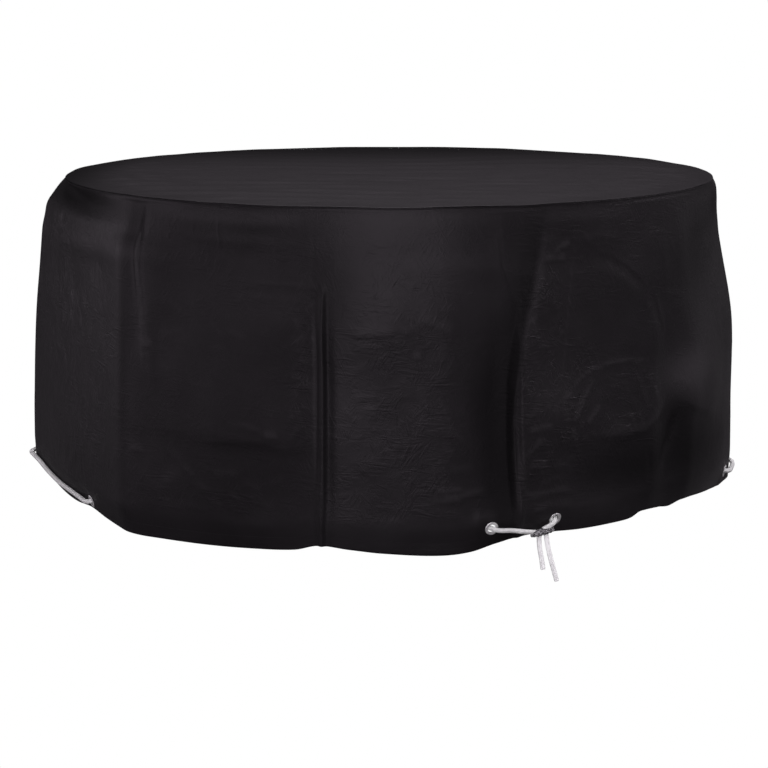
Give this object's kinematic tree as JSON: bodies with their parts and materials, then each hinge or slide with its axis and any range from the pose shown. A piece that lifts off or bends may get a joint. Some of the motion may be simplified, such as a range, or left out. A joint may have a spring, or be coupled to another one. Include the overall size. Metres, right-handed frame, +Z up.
{
  "type": "patio furniture cover",
  "caption": "Round fitted cover of coated cloth draped over a garden table and its chairs, drawn in near the hem by a cord woven through metal eyelets and tied at the front.",
  "frame": {"origin": "the middle of the top panel's underside, where it rests on the furniture's top", "axes": "+Z up, -Y towards the front with the cord's knot, +X to the right seen from the front"},
  "size_m": [1.5874, 1.4909, 0.7686],
  "materials": {
    "coated_cloth": "matt coated weave",
    "eyelet_metal": "plated, bright",
    "white_cord": "smooth braid",
    "grey_knot": "rough twist"
  },
  "bodies": {
    "root": {"top_panel": "coated_cloth", "skirt": "coated_cloth", "eyelet_1": "eyelet_metal", "eyelet_2": "eyelet_metal", "eyelet_3": "eyelet_metal", "eyelet_4": "eyelet_metal", "eyelet_5": "eyelet_metal", "eyelet_6": "eyelet_metal", "eyelet_7": "eyelet_metal", "eyelet_8": "eyelet_metal", "drawcord": "white_cord", "knot": "grey_knot", "tail_left": "white_cord", "tail_right": "white_cord"}
  },
  "joints": []
}
